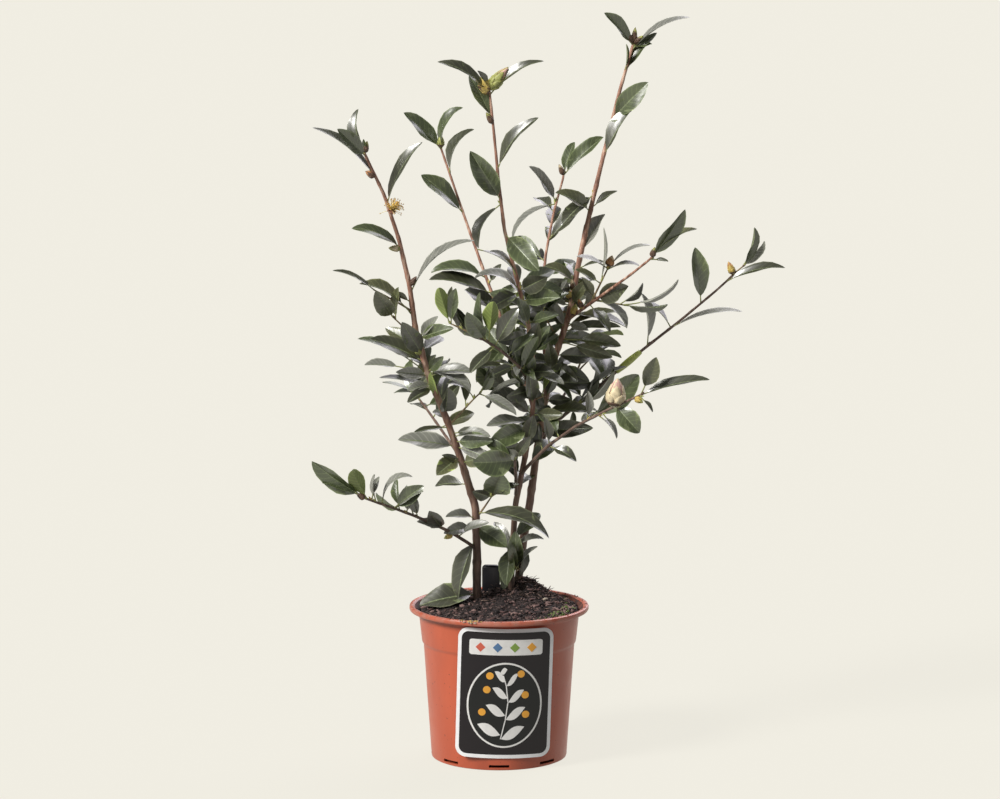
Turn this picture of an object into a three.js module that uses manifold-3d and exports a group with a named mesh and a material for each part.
// A young camellia shrub in its round nursery pot, standing on the pot's flat underside.
// Millimetres, +Z up, +X to the right and -Y to the front. The origin is the centre of the underside.
// Three stems rise out of the potting soil, boughs branch off them, and every group of leaves on the
// plant is one closed, uneven solid that is cut round the stems running through it.
import * as THREE from 'three';
import { mergeVertices } from 'three/addons/utils/BufferGeometryUtils.js';
import Module from 'manifold-3d';

const wasm = await Module();
wasm.setup();

// Clearance left wherever two pieces touch
const GAP = 0.3;
const CUT_TOLERANCE = 0.1;

// Pot: a tapered wall, a wider band above a shoulder, and a rolled lip
const POT_HEIGHT = 146;
const POT_FOOT_RADIUS = 64.4;
const FOOT_ROUNDING = 1.5;
const SHOULDER_HEIGHT = 109;
const SHOULDER_RADIUS = 71.6;
const SHOULDER_STEP = 1.5;
const SHOULDER_RISE = 3;
const BAND_TOP_RADIUS = 76;
const LIP_HEIGHT = 6.5;
const LIP_RADIUS = 85;
const LIP_WIDTH = 4.3;
const LIP_ROUNDING = 1.2;
const LIP_FILLET = 1;
const POT_WALL = 1.4;
const POT_FLOOR = 2;
const POT_SEGMENTS = 24;

// Drain slots: short openings through the foot of the wall
const SLOT_COUNT = 8;
const SLOT_WIDTH = 19;
const SLOT_HEIGHT = 3.6;
const SLOT_DEPTH = 6;
const SLOT_LIFT = 2.4;

// Potting soil: level at the rim, with a low heap in the middle and a higher one behind the stems
const SOIL_EDGE_HEIGHT = 142.5;
const SOIL_HEAP = { x: -8, y: 12, rise: 10, spread: 46 };
const SOIL_PEAK = { x: 30, y: 24, rise: 12, spread: 19 };
const SOIL_GRAIN = { rise: 1.1, length: 11 };
const SOIL_EDGE_DROP = 6;
const SOIL_RINGS = 3;
const SOIL_SEGMENTS = POT_SEGMENTS / 2;

// Picture label: a stiff card bowed a little round the front of the pot, its head tucked under the lip
const LABEL_WIDTH = 91;
const LABEL_HEIGHT = 126;
const LABEL_THICKNESS = 0.8;
const LABEL_CORNER = 10;
const LABEL_BOW_RADIUS = 118;
const LABEL_BOTTOM = 12.1;
const LABEL_CENTRE_X = 5.5;
const LABEL_TILT_DEG = 1.3;
const LABEL_STRIPS = 8;
const LABEL_CLEARANCE = 0.9;

// Black plant tag: a small plastic plate pushed into the soil behind the stems
const TAG_WIDTH = 17;
const TAG_HEIGHT = 42;
const TAG_THICKNESS = 1.2;
const TAG_TOP = 180;
const TAG_PLACE = { x: -7.7, y: 18 };
const TAG_TURN_DEG = -6;

// Limbs: each is one tapering limb with a radius at its foot and at its tip. A stem stands on a foot
// in the soil. A bough starts on its parent, `at` that share of the parent's length, and `into` names
// the leaf mass where it ends. The joints are where the growth changes its lean.
const STEM_SIDES = 8;
const BOUGH_SIDES = 6;
const LIMB_STEP = 45;
const FEWEST_STEPS = 4;
const FLARE = 0.55;
const FLARE_HEIGHT = 9;
const STEMS = [
  { name: 'stem_left', radii: [3.9, 1.3], foot: [-21, -4, 150],
    joints: [[-21, -4, 190], [-20, -6, 230], [-31, -10, 269], [-41, -16, 305], [-69, -30, 378],
      [-78, -40, 417], [-81, -46, 446], [-99, -66, 525], [-122, -88, 580]] },
  { name: 'stem_middle', radii: [3.1, 1.1], foot: [11, 10, 153],
    joints: [[18, 6, 261], [29, 0, 303], [32, -3, 342], [32, -8, 390], [22, -10, 437],
      [5, -14, 503], [-3, -18, 577], [-9, -20, 635]] },
  { name: 'stem_right', radii: [3.6, 1.4], foot: [17, 22, 154],
    joints: [[28, 24, 230], [36, 30, 289], [40, 34, 317], [59, 50, 397], [72, 57, 429],
      [73, 60, 448], [94, 78, 542], [117, 96, 632], [129, 104, 672]] },
];
const BOUGHS = [
  { name: 'shoot_inner_left', radii: [2.1, 1.1], on: 'stem_middle', at: 0.38,
    joints: [[1, 34, 417], [-27, 68, 491], [-58, 96, 578]], into: 'leaves_inner_left_tip' },
  { name: 'shoot_rear', radii: [1.9, 1.1], on: 'stem_right', at: 0.36,
    joints: [[41, 62, 438], [52, 92, 508], [64, 112, 549]], into: 'leaves_rear_tip' },
  { name: 'bough_upper_right', radii: [1.9, 1.1], on: 'stem_right', at: 0.49,
    joints: [[93, 8, 437], [120, -34, 462], [145, -62, 486]], into: 'leaves_upper_right_tip' },
  { name: 'bough_long_right', radii: [2.3, 1.2], on: 'stem_right', at: 0.28,
    joints: [[74, 44, 330], [135, 62, 379], [193, 76, 423], [240, 86, 464]],
    into: 'leaves_long_right_tip' },
  { name: 'bough_low_right', radii: [2.1, 1.2], on: 'stem_middle', at: 0.24,
    joints: [[50, -22, 305], [87, -56, 334], [140, -88, 363]], into: 'leaves_low_right_tip' },
  { name: 'bough_low_left', radii: [2.0, 1.2], on: 'stem_left', at: 0.11,
    joints: [[-51, -26, 223], [-89, -56, 245], [-136, -84, 266]], into: 'leaves_low_left_tip' },
  { name: 'bough_inner_left', radii: [2.0, 1.2], on: 'stem_middle', at: 0.42,
    joints: [[8, -36, 389], [-26, -64, 413], [-47, -80, 428]], into: 'leaves_inner_left' },
  { name: 'bough_rear_left', radii: [2.2, 1.3], on: 'stem_left', at: 0.31,
    joints: [[-66, 50, 321], [-95, 118, 348]], into: 'leaves_rear_left' },
  { name: 'bough_rear_right', radii: [2.2, 1.3], on: 'stem_right', at: 0.24,
    joints: [[62, 74, 335], [91, 130, 371]], into: 'leaves_rear_right' },
  { name: 'bough_front', radii: [2.0, 1.3], on: 'stem_middle', at: 0.2,
    joints: [[14, -42, 294], [6, -80, 314]], into: 'leaves_front' },
];

// Leaf masses. Each hangs on a limb, `at` that share of its length, and reaches out from there:
// `length` and `swing` give the long axis in the front view, 0 being to the right and 90 straight up,
// `back` is how far the far end lies behind the near one, and `width` and `depth` are across it.
// `sunk` is the share of the length that lies behind the limb, where leaves stand on both sides.
const MASSES = [
  { name: 'leaves_left_tip', on: 'stem_left', at: 0.96, swing: 131, length: 74, width: 48, depth: 40,
    back: -6 },
  { name: 'leaves_left_upper', on: 'stem_left', at: 0.78, swing: 153, length: 56, width: 18, depth: 24,
    back: -10 },
  { name: 'leaves_left_middle', on: 'stem_left', at: 0.63, swing: 147, length: 90, width: 44, depth: 40,
    back: -12, sunk: 0.06 },
  { name: 'leaves_left_cluster', on: 'stem_left', at: 0.53, swing: 172, length: 108, width: 66, depth: 84,
    back: -6, sunk: 0.34 },
  { name: 'leaves_left_inner', on: 'stem_left', at: 0.46, swing: 4, length: 52, width: 52, depth: 56,
    back: 4 },
  { name: 'leaves_left_side', on: 'stem_left', at: 0.36, swing: 172, length: 50, width: 30, depth: 34,
    back: -14 },
  { name: 'leaves_left_heart', on: 'stem_left', at: 0.33, swing: 12, length: 52, width: 70, depth: 56,
    back: 10, sunk: 0.32 },
  { name: 'leaves_low_left_tip', on: 'bough_low_left', at: 0.9, swing: 144, length: 64, width: 36,
    depth: 38, back: -6 },
  { name: 'leaves_low_left', on: 'bough_low_left', at: 0.32, swing: 152, length: 92, width: 36, depth: 52,
    back: -14, sunk: 0.2 },
  { name: 'leaves_foot_left', on: 'stem_left', at: 0.12, swing: 240, length: 58, width: 22, depth: 28,
    back: -14 },
  { name: 'leaves_over_rim', on: 'stem_left', at: 0.02, swing: 178, length: 56, width: 24, depth: 36,
    back: -22 },
  { name: 'leaves_fork', on: 'stem_left', at: 0.19, swing: 52, length: 76, width: 56, depth: 46,
    back: -36 },
  { name: 'leaves_drooping', on: 'stem_left', at: 0.18, swing: 347, length: 76, width: 36, depth: 38,
    back: -36 },
  { name: 'leaves_foot_middle', on: 'stem_middle', at: 0.07, swing: 92, length: 58, width: 40, depth: 50,
    back: -4, sunk: 0.45 },
  { name: 'leaves_inner_left_tip', on: 'shoot_inner_left', at: 0.98, swing: 98, length: 42, width: 66,
    depth: 40, back: 2 },
  { name: 'leaves_inner_left_high', on: 'shoot_inner_left', at: 0.86, swing: 68, length: 50, width: 22,
    depth: 26, back: 8 },
  { name: 'leaves_inner_left_low', on: 'shoot_inner_left', at: 0.73, swing: 137, length: 50, width: 24,
    depth: 26, back: -8 },
  { name: 'leaves_middle_top', on: 'stem_middle', at: 0.97, swing: 90, length: 60, width: 108, depth: 50,
    back: 0, sunk: 0.3 },
  { name: 'leaves_middle_high', on: 'stem_middle', at: 0.86, swing: 50, length: 56, width: 17, depth: 24,
    back: 8 },
  { name: 'leaves_middle_left', on: 'stem_middle', at: 0.79, swing: 100, length: 92, width: 36, depth: 30,
    back: -4, sunk: 0.48, aside: 13 },
  { name: 'leaves_middle_low', on: 'stem_middle', at: 0.69, swing: 330, length: 46, width: 38, depth: 42,
    back: -8 },
  { name: 'leaves_rear_tip', on: 'shoot_rear', at: 0.96, swing: 44, length: 52, width: 38, depth: 36,
    back: 4 },
  { name: 'leaves_rear_left_side', on: 'shoot_rear', at: 0.85, swing: 178, length: 42, width: 66, depth: 28,
    back: 4, sunk: 0.07 },
  { name: 'leaves_rear_high', on: 'shoot_rear', at: 0.34, swing: 192, length: 66, width: 56, depth: 58,
    back: 34, sunk: 0.2 },
  { name: 'leaves_right_top', on: 'stem_right', at: 0.93, swing: 64, length: 84, width: 84, depth: 50,
    back: 2, sunk: 0.05 },
  { name: 'leaves_right_high', on: 'stem_right', at: 0.79, swing: 65, length: 80, width: 34, depth: 34,
    back: -8 },
  { name: 'leaves_right_middle', on: 'stem_right', at: 0.68, swing: 165, length: 58, width: 60, depth: 60,
    back: -6, sunk: 0.4 },
  { name: 'leaves_bud_shoot', on: 'bough_upper_right', at: 0.42, swing: 86, length: 64, width: 78,
    depth: 50, back: -16 },
  { name: 'leaves_upper_right_tip', on: 'bough_upper_right', at: 0.94, swing: 51, length: 56, width: 36,
    depth: 38, back: -6 },
  { name: 'leaves_right_arch', on: 'bough_long_right', at: 0.53, swing: 76, length: 70, width: 42,
    depth: 46, back: -10 },
  { name: 'leaves_long_right_high', on: 'bough_long_right', at: 0.76, swing: 92, length: 54, width: 26,
    depth: 28, back: 0 },
  { name: 'leaves_long_right_tip', on: 'bough_long_right', at: 0.92, swing: 30, length: 62, width: 52,
    depth: 44, back: 0 },
  { name: 'leaves_low_right_tip', on: 'bough_low_right', at: 0.9, swing: 20, length: 70, width: 42,
    depth: 40, back: -6 },
  { name: 'leaves_low_right_bud', on: 'bough_low_right', at: 0.7, swing: 60, length: 56, width: 52,
    depth: 50, back: 4, sunk: 0.26 },
  { name: 'leaves_inner_left', on: 'bough_inner_left', at: 0.72, swing: 116, length: 82, width: 80,
    depth: 50, back: 6, sunk: 0.1 },
  { name: 'leaves_heart_high', on: 'stem_right', at: 0.52, swing: 175, length: 116, width: 72, depth: 84,
    back: -8, sunk: 0.4 },
  { name: 'leaves_heart_right', on: 'stem_right', at: 0.44, swing: 8, length: 72, width: 78, depth: 72,
    back: 4, sunk: 0.05 },
  { name: 'leaves_heart', on: 'stem_middle', at: 0.43, swing: 170, length: 90, width: 80, depth: 80,
    back: -12, sunk: 0.32 },
  { name: 'leaves_heart_low', on: 'stem_right', at: 0.3, swing: 352, length: 62, width: 54, depth: 60,
    back: 6, sunk: 0.2 },
  { name: 'leaves_front', on: 'bough_front', at: 0.8, swing: 182, length: 60, width: 66, depth: 86,
    back: -6, sunk: 0.42 },
  { name: 'leaves_rear_left', on: 'bough_rear_left', at: 0.86, swing: 155, length: 62, width: 58, depth: 70,
    back: 20, sunk: 0.3 },
  { name: 'leaves_rear_right', on: 'bough_rear_right', at: 0.86, swing: 40, length: 74, width: 60,
    depth: 72, back: 20, sunk: 0.3 },
];
const MASS_LOBES = 7;
const LOBE_RISE = 0.26;
const LOBE_SHARPNESS = 7;
const MASS_NECK = 0.3;
const LOBE_PEAK = 1.15;
const MASS_SWELL = 1.12;
const GOLDEN_ANGLE = 2.4;

const BARK_OLD = 0x54382f;
const BARK_YOUNG = 0x8a5b47;
const LEAF_GREENS = [0x3c4a31, 0x46553a, 0x35432d, 0x505f40];
const POT_COLOUR = 0xb4563c;
const LABEL_COLOUR = 0xf2f2ee;
const TAG_COLOUR = 0x1c1c20;
const SOIL_COLOUR = 0x2b2019;

function degrees(angle) {
  return THREE.MathUtils.degToRad(angle);
}

// A repeatable number from 0 to 1 for each seed and index
function chance(seed, index) {
  const wave = Math.sin(seed * 12.9898 + index * 78.233) * 43758.5453;
  return wave - Math.floor(wave);
}

// Only the places of the points, with shared ones merged
function closed(geometry) {
  const plain = geometry.clone();
  plain.deleteAttribute('normal');
  plain.deleteAttribute('uv');
  return mergeVertices(plain, 1e-3);
}

function toSolid(geometry) {
  const merged = closed(geometry);
  return new wasm.Manifold(new wasm.Mesh({
    numProp: 3,
    vertProperties: new Float32Array(merged.attributes.position.array),
    triVerts: new Uint32Array(merged.index.array),
  }));
}

function fromSolid(solid) {
  const mesh = solid.getMesh();
  const geometry = new THREE.BufferGeometry();
  geometry.setAttribute('position', new THREE.BufferAttribute(mesh.vertProperties, 3));
  geometry.setIndex(new THREE.BufferAttribute(mesh.triVerts, 1));
  geometry.computeVertexNormals();
  return geometry;
}

// What is left of a solid after the cuts, without the crumbs that fall off it or needless small faces
function largest(solid) {
  return solid.simplify(CUT_TOLERANCE).decompose()
    .reduce((best, piece) => (piece.volume() > best.volume() ? piece : best));
}

function turned(points, segments) {
  return new THREE.LatheGeometry(points.map(([r, z]) => new THREE.Vector2(r, z)), segments)
    .rotateX(Math.PI / 2);
}

function wallRadius(z) {
  const share = z / SHOULDER_HEIGHT;
  return POT_FOOT_RADIUS + (SHOULDER_RADIUS - POT_FOOT_RADIUS) * share;
}

// The pot's outline goes up the outside, over the lip and down the inside
function potSolid() {
  const lipUnder = POT_HEIGHT - LIP_HEIGHT;
  const bandFoot = SHOULDER_RADIUS + SHOULDER_STEP;
  const outline = [
    [0, 0],
    [POT_FOOT_RADIUS - FOOT_ROUNDING, 0],
    [POT_FOOT_RADIUS, FOOT_ROUNDING],
    [SHOULDER_RADIUS, SHOULDER_HEIGHT],
    [bandFoot, SHOULDER_HEIGHT + SHOULDER_RISE],
    [BAND_TOP_RADIUS, lipUnder - LIP_FILLET],
    [BAND_TOP_RADIUS + LIP_FILLET, lipUnder],
    [LIP_RADIUS - LIP_ROUNDING, lipUnder],
    [LIP_RADIUS, lipUnder + LIP_ROUNDING],
    [LIP_RADIUS, POT_HEIGHT - LIP_ROUNDING],
    [LIP_RADIUS - LIP_ROUNDING, POT_HEIGHT],
    [LIP_RADIUS - LIP_WIDTH, POT_HEIGHT],
    [BAND_TOP_RADIUS - POT_WALL, lipUnder - LIP_FILLET],
    [bandFoot - POT_WALL, SHOULDER_HEIGHT + SHOULDER_RISE],
    [SHOULDER_RADIUS - POT_WALL, SHOULDER_HEIGHT],
    [wallRadius(POT_FLOOR) - POT_WALL, POT_FLOOR],
    [0, POT_FLOOR],
  ];
  let pot = toSolid(turned(outline, POT_SEGMENTS));
  for (let i = 0; i < SLOT_COUNT; i += 1) {
    const slot = new THREE.BoxGeometry(SLOT_DEPTH, SLOT_WIDTH, SLOT_HEIGHT)
      .translate(POT_FOOT_RADIUS, 0, SLOT_LIFT + SLOT_HEIGHT / 2)
      .rotateZ(degrees(-90 + (i * 360) / SLOT_COUNT));
    pot = pot.subtract(toSolid(slot));
  }
  return pot;
}

function heap({ x, y, rise, spread }, px, py) {
  const distance = Math.hypot(px - x, py - y);
  return rise * Math.exp(-0.5 * (distance / spread) ** 2);
}

function soilHeight(x, y, radius) {
  const edge = Math.max(0, 1 - (Math.hypot(x, y) / radius) ** 6);
  const wave = (2 * Math.PI) / SOIL_GRAIN.length;
  const grain = SOIL_GRAIN.rise * Math.sin(wave * (x + y / 2)) * Math.cos(wave * (y - x / 3));
  return SOIL_EDGE_HEIGHT + edge * (heap(SOIL_HEAP, x, y) + heap(SOIL_PEAK, x, y) + grain);
}

// The soil fills the pot. Its top is a disc of rings, lifted to the height of the heaps.
function soilSolid(grow) {
  const topRadius = BAND_TOP_RADIUS - POT_WALL - GAP + grow;
  const foot = POT_FLOOR + GAP;
  const slotTop = SLOT_LIFT + SLOT_HEIGHT + GAP;
  const inset = POT_WALL + GAP;
  const outline = [
    [0, foot],
    [wallRadius(foot) - inset - SLOT_DEPTH / 2, foot],
    [wallRadius(foot) - inset - SLOT_DEPTH / 2, slotTop],
    [wallRadius(slotTop) - inset, slotTop],
    [SHOULDER_RADIUS - inset, SHOULDER_HEIGHT],
    [SHOULDER_RADIUS + SHOULDER_STEP - inset, SHOULDER_HEIGHT + SHOULDER_RISE],
    [topRadius - GAP, SOIL_EDGE_HEIGHT - SOIL_EDGE_DROP],
  ];
  for (let ring = SOIL_RINGS; ring >= 0; ring -= 1) {
    outline.push([(topRadius * ring) / SOIL_RINGS, SOIL_EDGE_HEIGHT]);
  }
  const soil = closed(turned(outline, SOIL_SEGMENTS));
  const place = soil.attributes.position;
  for (let i = 0; i < place.count; i += 1) {
    if (place.getZ(i) > SOIL_EDGE_HEIGHT - SOIL_EDGE_DROP / 2) {
      place.setZ(i, soilHeight(place.getX(i), place.getY(i), topRadius) + grow);
    }
  }
  return toSolid(soil);
}

// A bowed slab cut to the outline of a card with round corners, then leaned back on the wall
function labelSolid() {
  const slab = new THREE.BoxGeometry(LABEL_WIDTH, LABEL_THICKNESS, LABEL_HEIGHT, LABEL_STRIPS);
  const place = slab.attributes.position;
  for (let i = 0; i < place.count; i += 1) {
    const angle = place.getX(i) / LABEL_BOW_RADIUS;
    const radius = LABEL_BOW_RADIUS - place.getY(i);
    const back = LABEL_BOW_RADIUS - radius * Math.cos(angle);
    place.setXYZ(i, radius * Math.sin(angle), back, place.getZ(i));
  }
  const half = [LABEL_BOW_RADIUS * Math.sin(LABEL_WIDTH / 2 / LABEL_BOW_RADIUS), LABEL_HEIGHT / 2];
  const card = new THREE.Shape();
  card.moveTo(-half[0] + LABEL_CORNER, -half[1]);
  const corners = [[1, -1, -90], [1, 1, 0], [-1, 1, 90], [-1, -1, 180]];
  for (const [sx, sz, start] of corners) {
    const cx = sx * (half[0] - LABEL_CORNER);
    const cz = sz * (half[1] - LABEL_CORNER);
    card.absarc(cx, cz, LABEL_CORNER, degrees(start), degrees(start + 90), false);
  }
  const options = { depth: LABEL_WIDTH, bevelEnabled: false, curveSegments: 4 };
  const punch = new THREE.ExtrudeGeometry(card, options)
    .rotateX(Math.PI / 2)
    .translate(0, LABEL_WIDTH / 2, 0);
  const wall = [wallRadius(LABEL_BOTTOM), BAND_TOP_RADIUS];
  const lean = Math.atan2(wall[1] - wall[0], LABEL_HEIGHT);
  const middle = (wall[0] + wall[1]) / 2 + LABEL_CLEARANCE;
  const set = new THREE.Matrix4()
    .makeRotationZ(Math.atan2(LABEL_CENTRE_X, middle))
    .multiply(new THREE.Matrix4().makeTranslation(0, -middle, LABEL_BOTTOM + LABEL_HEIGHT / 2))
    .multiply(new THREE.Matrix4().makeRotationX(lean))
    .multiply(new THREE.Matrix4().makeRotationY(degrees(LABEL_TILT_DEG)));
  return toSolid(fromSolid(toSolid(slab).intersect(toSolid(punch))).applyMatrix4(set));
}

function tagSolid(grow) {
  const size = [TAG_WIDTH, TAG_THICKNESS, TAG_HEIGHT].map((side) => side + 2 * grow);
  const plate = new THREE.BoxGeometry(...size)
    .rotateZ(degrees(TAG_TURN_DEG))
    .translate(TAG_PLACE.x, TAG_PLACE.y, TAG_TOP - TAG_HEIGHT / 2);
  return toSolid(plate);
}

// The line a limb grows along. A stem leaves the soil upright, a bough starts inside its parent.
function limbCurve(limb, curves) {
  const points = limb.joints.map((joint) => new THREE.Vector3(...joint));
  if (limb.foot) {
    const foot = new THREE.Vector3(...limb.foot);
    points.unshift(foot, foot.clone().add(new THREE.Vector3(0, 0, FLARE_HEIGHT)));
  } else {
    points.unshift(curves[limb.on].getPointAt(limb.at));
  }
  return new THREE.CatmullRomCurve3(points, false, 'centripetal');
}

function limbRadius(limb, share, length) {
  const [foot, tip] = limb.radii;
  const flare = limb.foot ? 1 + FLARE * Math.exp(-(share * length) / FLARE_HEIGHT) : 1;
  return (foot + (tip - foot) * share) * flare;
}

// A capped cylinder bent along the limb's line, each ring with the limb's own radius there
function limbSolid(limb, curve, grow) {
  const length = curve.getLength();
  const steps = Math.max(FEWEST_STEPS, Math.round(length / LIMB_STEP));
  const frames = curve.computeFrenetFrames(steps, false);
  const tube = new THREE.CylinderGeometry(1, 1, 1, limb.foot ? STEM_SIDES : BOUGH_SIDES, steps);
  const place = tube.attributes.position;
  for (let i = 0; i < place.count; i += 1) {
    const share = place.getY(i) + 0.5;
    const ring = Math.round(share * steps);
    const radius = limbRadius(limb, share, length) + grow;
    const end = Number(ring === steps) - Number(ring === 0);
    const point = curve.getPointAt(THREE.MathUtils.clamp(share, 0, 1))
      .addScaledVector(frames.tangents[ring], end * grow)
      .addScaledVector(frames.binormals[ring], place.getX(i) * radius)
      .addScaledVector(frames.normals[ring], place.getZ(i) * radius);
    place.setXYZ(i, point.x, point.y, point.z);
  }
  return toSolid(tube);
}

// A leaf mass: a ball with seeded lobes, drawn out along its swing, slimmer where it leaves the limb
function massSolid(mass, seed, curve, grow) {
  const sunk = mass.sunk ?? 0;
  const swing = degrees(mass.swing);
  const root = curve.getPointAt(mass.at);
  const along = new THREE.Vector3(Math.cos(swing), mass.back / mass.length, Math.sin(swing)).normalize();
  const inward = new THREE.Vector3(0, 1, 0).addScaledVector(along, -along.y).normalize();
  const across = new THREE.Vector3().crossVectors(along, inward);
  const centre = root.clone()
    .addScaledVector(along, mass.length * (0.5 - sunk))
    .addScaledVector(across, mass.aside ?? 0);
  const lobes = [];
  for (let i = 0; i < MASS_LOBES; i += 1) {
    const height = 1 - (2 * (i + chance(seed, i))) / MASS_LOBES;
    const turn = GOLDEN_ANGLE * i + 2 * Math.PI * chance(seed, MASS_LOBES + i);
    const ring = Math.sqrt(1 - height * height);
    lobes.push(new THREE.Vector3(height, ring * Math.cos(turn), ring * Math.sin(turn)));
  }
  const ball = new THREE.IcosahedronGeometry(1, 1);
  const place = ball.attributes.position;
  const way = new THREE.Vector3();
  for (let i = 0; i < place.count; i += 1) {
    way.fromBufferAttribute(place, i).normalize();
    const nearest = Math.max(...lobes.map((lobe) => way.dot(lobe)));
    const lift = Math.exp(LOBE_SHARPNESS * (nearest - 1));
    const reach = (MASS_SWELL / 2) * (1 - LOBE_RISE + LOBE_RISE * LOBE_PEAK * lift);
    const neck = 1 - (MASS_NECK * (1 - way.x)) / 2;
    const point = centre.clone()
      .addScaledVector(along, way.x * (reach * mass.length + grow))
      .addScaledVector(inward, way.y * (reach * neck * mass.depth + grow))
      .addScaledVector(across, way.z * (reach * neck * mass.width + grow));
    place.setXYZ(i, point.x, point.y, point.z);
  }
  return toSolid(ball);
}

const plant = new THREE.Group();

function addPiece(name, solid, material) {
  const piece = new THREE.Mesh(fromSolid(solid), material);
  piece.name = name;
  plant.add(piece);
}

function surface(color, roughness) {
  return new THREE.MeshStandardMaterial({ color, roughness, metalness: 0 });
}

addPiece('pot', potSolid(), surface(POT_COLOUR, 0.4));
addPiece('label', labelSolid(), surface(LABEL_COLOUR, 0.4));
addPiece('soil_tag', tagSolid(0), surface(TAG_COLOUR, 0.4));

// Limbs in growing order: each is cut clear of those before it, and ends where it enters its mass
const curves = {};
for (const limb of [...STEMS, ...BOUGHS]) {
  curves[limb.name] = limbCurve(limb, curves);
}
const massSeed = Object.fromEntries(MASSES.map((mass, index) => [mass.name, index + 1]));
const grownLimbs = [];
for (const limb of [...STEMS, ...BOUGHS]) {
  const curve = curves[limb.name];
  let solid = limbSolid(limb, curve, 0);
  for (const other of grownLimbs) {
    solid = solid.subtract(other.grown);
  }
  if (limb.into) {
    const end = MASSES.find((mass) => mass.name === limb.into);
    solid = solid.subtract(massSolid(end, massSeed[end.name], curves[end.on], GAP));
  }
  grownLimbs.push({ name: limb.name, into: limb.into, grown: limbSolid(limb, curve, GAP) });
  addPiece(limb.name, largest(solid), surface(limb.foot ? BARK_OLD : BARK_YOUNG, 0.8));
}

// The soil closes round the foot of each stem and round the tag
let soil = soilSolid(0).subtract(tagSolid(GAP));
for (const limb of grownLimbs) {
  soil = soil.subtract(limb.grown);
}
addPiece('soil', largest(soil), surface(SOIL_COLOUR, 1));

// Masses are cut clear of the pot, the soil, the limbs that run through them and the masses before them
const envelope = { radius: LIP_RADIUS + GAP, height: POT_HEIGHT + GAP };
const potEnvelope = toSolid(turned([
  [0, 0],
  [envelope.radius, 0],
  [envelope.radius, envelope.height],
  [0, envelope.height],
], POT_SEGMENTS));
const soilEnvelope = soilSolid(GAP);
const tagEnvelope = tagSolid(GAP);
const grownMasses = [];
MASSES.forEach((mass, index) => {
  const curve = curves[mass.on];
  let solid = massSolid(mass, massSeed[mass.name], curve, 0)
    .subtract(potEnvelope)
    .subtract(soilEnvelope)
    .subtract(tagEnvelope);
  for (const limb of grownLimbs) {
    if (limb.into !== mass.name) {
      solid = solid.subtract(limb.grown);
    }
  }
  for (const other of grownMasses) {
    solid = solid.subtract(other);
  }
  grownMasses.push(massSolid(mass, massSeed[mass.name], curve, GAP));
  const green = LEAF_GREENS[index % LEAF_GREENS.length];
  addPiece(mass.name, largest(solid), surface(green, 0.45));
});

export default plant;
